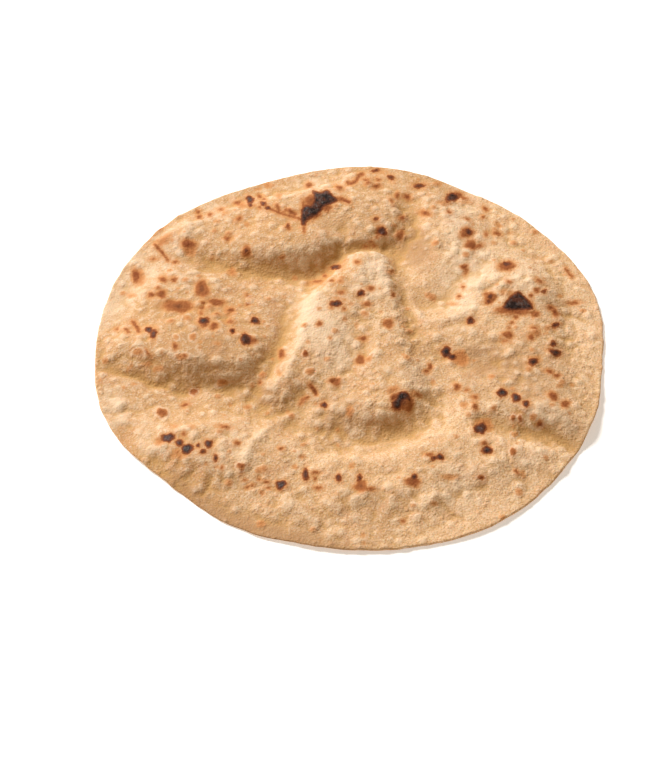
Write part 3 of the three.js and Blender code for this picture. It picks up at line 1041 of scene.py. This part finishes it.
def stored(name):
    """A value that the mesh keeps on its points."""
    return add("ShaderNodeAttribute", attribute_name=name).outputs["Fac"]


def calculate(operation, first, second=0.0):
    """One step of arithmetic."""
    return add("ShaderNodeMath", {0: first, 1: second}, operation=operation).outputs[0]


def cloudy(size, detail=2.0, roughness=0.5):
    """Soft random shades, as large as size."""
    return add("ShaderNodeTexNoise", {"Vector": place, "Scale": 1 / size, "Detail": detail,
                                      "Roughness": roughness}).outputs["Fac"]


def between(value, low, high, bottom=0.0, top=1.0):
    """Goes smoothly from bottom to top while the value goes from low to high."""
    return add("ShaderNodeMapRange", {"Value": value, "From Min": low, "From Max": high, "To Min": bottom,
                                      "To Max": top}, interpolation_type="SMOOTHSTEP").outputs["Result"]


def blend(share, first, second):
    """Mixes two colours, by a share from 0 to 1."""
    return add("ShaderNodeMix", {0: share, 6: first, 7: second}, data_type="RGBA").outputs[2]


place = add("ShaderNodeTexCoord").outputs["Object"]
print("helpers ready")

# %% [markdown]
# ### Ground colour
#
# Under the spots, the skin goes from cream to golden in soft patches, more golden towards the left, and
# pinkish where it browned a little. What stands up is painted paler, partly flour and partly a painted
# highlight, hollows and valleys are painted more yellow as shade, tiny bubbles in some patches are baked
# darker, and flecks of bran are dotted over it. The stored list of places makes whole places paler or
# dusky: partly flour dust and baking, partly painted light and shade.

# %% Ground colour
CREAM = (0.81, 0.54, 0.315, 1)
GOLDEN = (0.61, 0.35, 0.165, 1)
DUSKY = (0.43, 0.235, 0.108, 1)
# A darker yellow: painted shade in hollows and valleys, and also a fine random mottle.
VALLEY = (0.55, 0.31, 0.105, 1)
# A paler colour: flour dust, and also a painted highlight on what stands up and on some listed places.
FLOUR_AND_HIGHLIGHT = (0.89, 0.71, 0.52, 1)
TOAST = (0.70, 0.37, 0.195, 1)
BRAN = (0.30, 0.13, 0.05, 1)

GOLDEN_PATCH = 26 * MM
GOLDEN_SIDE_SHARE = 0.8  # how much that side adds to the golden patches
GOLDEN_RANGE = (0.55, 1.2)
# Cloudy layers: size, noise detail, where the noise starts and ends the change, how strong it gets, colour.
BROAD_LAYERS = (
    (9 * MM, 2, 0.48, 0.72, 0.45, TOAST),
    (3 * MM, 3, 0.5, 0.7, 0.4, FLOUR_AND_HIGHLIGHT),
)
FINE_LAYERS = (
    (2.4 * MM, 3, 0.5, 0.3, 0.4, GOLDEN),
    (0.9 * MM, 2, 0.5, 0.68, 0.5, FLOUR_AND_HIGHLIGHT),
    (0.8 * MM, 2, 0.5, 0.3, 0.75, VALLEY),
)


def lay_over(colour, layers):
    """Lays cloudy layers over a colour, one after another."""
    for size, detail, start, end, most, tint in layers:
        colour = blend(between(cloudy(size, detail), start, end, 0, most), colour, tint)
    return colour


uneven = calculate("ADD", cloudy(GOLDEN_PATCH), calculate("MULTIPLY", stored("browning"), GOLDEN_SIDE_SHARE))
colour = blend(between(uneven, *GOLDEN_RANGE), CREAM, GOLDEN)
colour = lay_over(colour, BROAD_LAYERS)
print("cream, golden and toasted patches mixed")

# %% Tiny bubbles and fine grain
BUBBLE_SIZE = 2.9 * MM
BUBBLE_RANGE = (0.45, 0.1)  # distance to a bubble's middle, in bubble sizes, over which it fades in
BUBBLE_PATCH = 11 * MM
BUBBLE_PATCH_RANGE = (0.45, 0.62)
BUBBLE_TOAST = 0.45

bubbles = add("ShaderNodeTexVoronoi", {"Vector": place, "Scale": 1 / BUBBLE_SIZE}).outputs["Distance"]
bubbly = calculate("MULTIPLY", between(bubbles, *BUBBLE_RANGE),
                   between(cloudy(BUBBLE_PATCH), *BUBBLE_PATCH_RANGE))
colour = blend(calculate("MULTIPLY", bubbly, BUBBLE_TOAST), colour, TOAST)
colour = lay_over(colour, FINE_LAYERS)
print("tiny bubbles and grain laid over")

# %% Flour, painted light and shade, hollows and bran
DUST_AND_LIGHT_PATCH = 5 * MM
DUST_AND_LIGHT_FRAY = 0.25  # how much noise adds to or takes from the dust and painted light
DUST_AND_LIGHT_NOISE = (0.3, 0.7)  # the noise values where it takes most and adds most
# Layers over the dust and painted light: where that value starts and ends the change, how strong it gets,
# colour.
DUST_AND_LIGHT_LAYERS = (
    (0.0, 1.0, 0.6, FLOUR_AND_HIGHLIGHT),
    (-0.1, -1.4, 0.75, DUSKY),
)
# Painted shade in the hollows and valleys, and flour with a painted highlight on what stands up. Stored
# layers: name, where the value starts and ends the change, how strong it gets, colour.
SHADE_AND_HIGHLIGHT_LAYERS = (
    ("hollow", 0.0, 0.3, 0.6, VALLEY),
    ("valley", 0.1, 1.6, 0.6, VALLEY),
    ("hollow", -0.04, -0.3, 0.4, FLOUR_AND_HIGHLIGHT),
)
FLECK_CELL = 2.4 * MM  # at most one fleck of bran in each cell of this size
FLECK_RANGE = (0.16, 0.08)  # distance to a fleck's middle, in cells, over which it fades in
FLECK_CHOICE = (0.75, 0.8)  # only cells whose random number is higher than this hold a fleck
FLECK_SHARE = 0.5

dust_and_light_fray = between(cloudy(DUST_AND_LIGHT_PATCH, 3), *DUST_AND_LIGHT_NOISE, -DUST_AND_LIGHT_FRAY, DUST_AND_LIGHT_FRAY)
dust_and_light = calculate("ADD", stored("dusting"), dust_and_light_fray)
# the listed places painted paler or darker: partly flour dust and baking, partly painted light and shade
for start, end, most, tint in DUST_AND_LIGHT_LAYERS:
    colour = blend(between(dust_and_light, start, end, 0, most), colour, tint)
# painted shade in hollows and valleys, and flour with a painted highlight on what stands up
for name, start, end, most, tint in SHADE_AND_HIGHLIGHT_LAYERS:
    colour = blend(between(stored(name), start, end, 0, most), colour, tint)
cells = add("ShaderNodeTexVoronoi", {"Vector": place, "Scale": 1 / FLECK_CELL})
cell_choice = add("ShaderNodeSeparateColor", {"Color": cells.outputs["Color"]}).outputs["Red"]
fleck = calculate("MULTIPLY", between(cells.outputs["Distance"], *FLECK_RANGE),
                  between(cell_choice, *FLECK_CHOICE))
colour = blend(calculate("MULTIPLY", fleck, FLECK_SHARE), colour, BRAN)
print("ground colour mixed")

# %% [markdown]
# ### Baked colours
#
# Each kind of spot is a stack of bands. From outside to inside, a burn goes from an orange glow through
# brown and scorched to black, with grey patches on the largest: partly ash, partly a painted sheen where
# char shines. The stored depths say how far inside a point is, and a little noise added to them makes the
# edges fray.

# %% Baked colours
GLOW = (0.62, 0.27, 0.088, 1)
TAN = (0.50, 0.185, 0.055, 1)
BROWN = (0.24, 0.06, 0.014, 1)
SCORCHED = (0.11, 0.03, 0.013, 1)
BLACK = (0.016, 0.008, 0.008, 1)
# a grey: partly ash, partly a painted sheen on the char
ASH_AND_SHEEN = (0.10, 0.071, 0.064, 1)
FRAY = 0.7  # mm, how far noise moves a spot's edge
FRAY_NOISE = (1.5 * MM, 3, 0.6)  # size, detail and roughness of that noise
# Bands of each kind of spot: the depth in mm where a band starts and is full, and how strong it gets.
GLOW_BANDS = {"tan": (-0.8, 0.4, 0.75), "brown": (-1.8, -0.1, 0.7), "black": (-2.2, -0.4, 0.55)}
TAN_BANDS = {"tan": (0.2, 1.5, 0.75), "brown": (-0.6, 0.3, 0.9), "black": (-0.7, -0.1, 0.9)}
PALE_RIM_RANGE = (0.2, 1.0)
PALE_RIM_FLOUR = 0.4

fray = calculate("MULTIPLY", calculate("SUBTRACT", cloudy(*FRAY_NOISE), 0.5), FRAY * 2)
edges = {kind: calculate("ADD", stored(kind), fray) for kind in ("tan", "brown", "black")}


def band(kind, start, full, most=1.0):
    """How strong a band of one kind of spot is: it fades in from its start to where it is full."""
    return between(edges[kind], start, full, 0, most)


def strongest(bands):
    """The strongest of the bands of all three kinds of spot."""
    share = band("tan", *bands["tan"])
    for kind in ("brown", "black"):
        share = calculate("MAXIMUM", share, band(kind, *bands[kind]))
    return share


colour = blend(strongest(GLOW_BANDS), colour, GLOW)
colour = blend(strongest(TAN_BANDS), colour, TAN)
colour = blend(between(stored("pale_rim"), *PALE_RIM_RANGE, 0, PALE_RIM_FLOUR), colour, FLOUR_AND_HIGHLIGHT)
print("glow, tan and pale rims laid over")

# %% Brown, scorch and char
BROWN_BANDS = {"brown": (-0.4, 0.9), "black": (-0.5, 0.0, 0.9)}
SCORCH_BANDS = {"brown": (1.2, 2.4, 0.5), "black": (-0.1, 0.5, 0.9)}
CHAR_BAND = (0.4, 1.3)
MOTTLE_SIZE = 2.2 * MM
CHAR_SIZE = 3 * MM
ASH_AND_SHEEN_SIZE = 1.8 * MM
ASH_AND_SHEEN_NOISE = (0.45, 0.62)
ASH_AND_SHEEN_DEPTH = (0.6, 1.6)  # mm inside a black spot, where the grey of ash and painted sheen starts and is full
ASH_AND_SHEEN_SHARE = 0.8
UNEVEN_RANGE = (0.36, 0.56)  # the noise values between which brown and char change from weak to strong
WEAK_BROWN = 0.7
WEAK_CHAR = 0.45

browned = calculate("MULTIPLY", band("brown", *BROWN_BANDS["brown"]), stored("strength"))
browned = calculate("MAXIMUM", browned, band("black", *BROWN_BANDS["black"]))
mottled = between(cloudy(MOTTLE_SIZE, 3), *UNEVEN_RANGE, WEAK_BROWN, 1)
colour = blend(calculate("MULTIPLY", browned, mottled), colour, BROWN)
for kind, depths in SCORCH_BANDS.items():
    colour = blend(band(kind, *depths), colour, SCORCHED)
uneven_char = between(cloudy(CHAR_SIZE, 2), *UNEVEN_RANGE, WEAK_CHAR, 1)
colour = blend(calculate("MULTIPLY", band("black", *CHAR_BAND), uneven_char), colour, BLACK)
# grey patches in the largest black spots: partly ash, partly a painted sheen
ash_and_sheen = between(cloudy(ASH_AND_SHEEN_SIZE, 3), *ASH_AND_SHEEN_NOISE, 0, ASH_AND_SHEEN_SHARE)
ash_and_sheen = calculate("MULTIPLY", between(stored("black"), *ASH_AND_SHEEN_DEPTH), ash_and_sheen)
colour = blend(ash_and_sheen, colour, ASH_AND_SHEEN)
dough.node_tree.links.new(colour, shader.inputs["Base Color"])
print("spots coloured")

# %% [markdown]
# ### Sheen and grain
#
# Dough is dull, and char shines a little. Light goes a fraction of a millimetre into dough before it comes
# out, which Subsurface does, and it softens the smallest shadows. The grain of the flour and the tiniest
# bubbles, which stand in patches, are too fine to model, so a Bump node adds them.

# %% Sheen and grain
DULL = 0.82
CHARRED = 0.5
REFLECTION = 0.2
LIGHT_SHARE = 0.12  # share of the light that goes into the dough
LIGHT_DEPTH = 0.8 * MM
LIGHT_COLOURS = (1.0, 0.5, 0.25)  # red light goes deepest, blue least
GRAINS = ((0.9 * MM, 0.37), (2.2 * MM, 0.2))  # size of a fine and a coarse grain, and its height in mm
BUBBLE_GRAIN = 0.2  # mm

shader.inputs["Specular IOR Level"].default_value = REFLECTION
shader.inputs["Subsurface Weight"].default_value = LIGHT_SHARE
shader.inputs["Subsurface Scale"].default_value = LIGHT_DEPTH
shader.inputs["Subsurface Radius"].default_value = LIGHT_COLOURS
roughness = between(edges["black"], 0.0, 1.0, DULL, CHARRED)
dough.node_tree.links.new(roughness, shader.inputs["Roughness"])
fine, coarse = [calculate("MULTIPLY", cloudy(size), height) for size, height in GRAINS]
grain = calculate("ADD", calculate("ADD", fine, coarse), calculate("MULTIPLY", bubbly, BUBBLE_GRAIN))
bump = add("ShaderNodeBump", {"Height": grain, "Distance": MM, "Strength": 1.0})
dough.node_tree.links.new(bump.outputs["Normal"], shader.inputs["Normal"])

bread.data.materials.clear()
bread.data.materials.append(dough)
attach(bread, "root")
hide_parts("chapati")
print("one material on", bread.name)
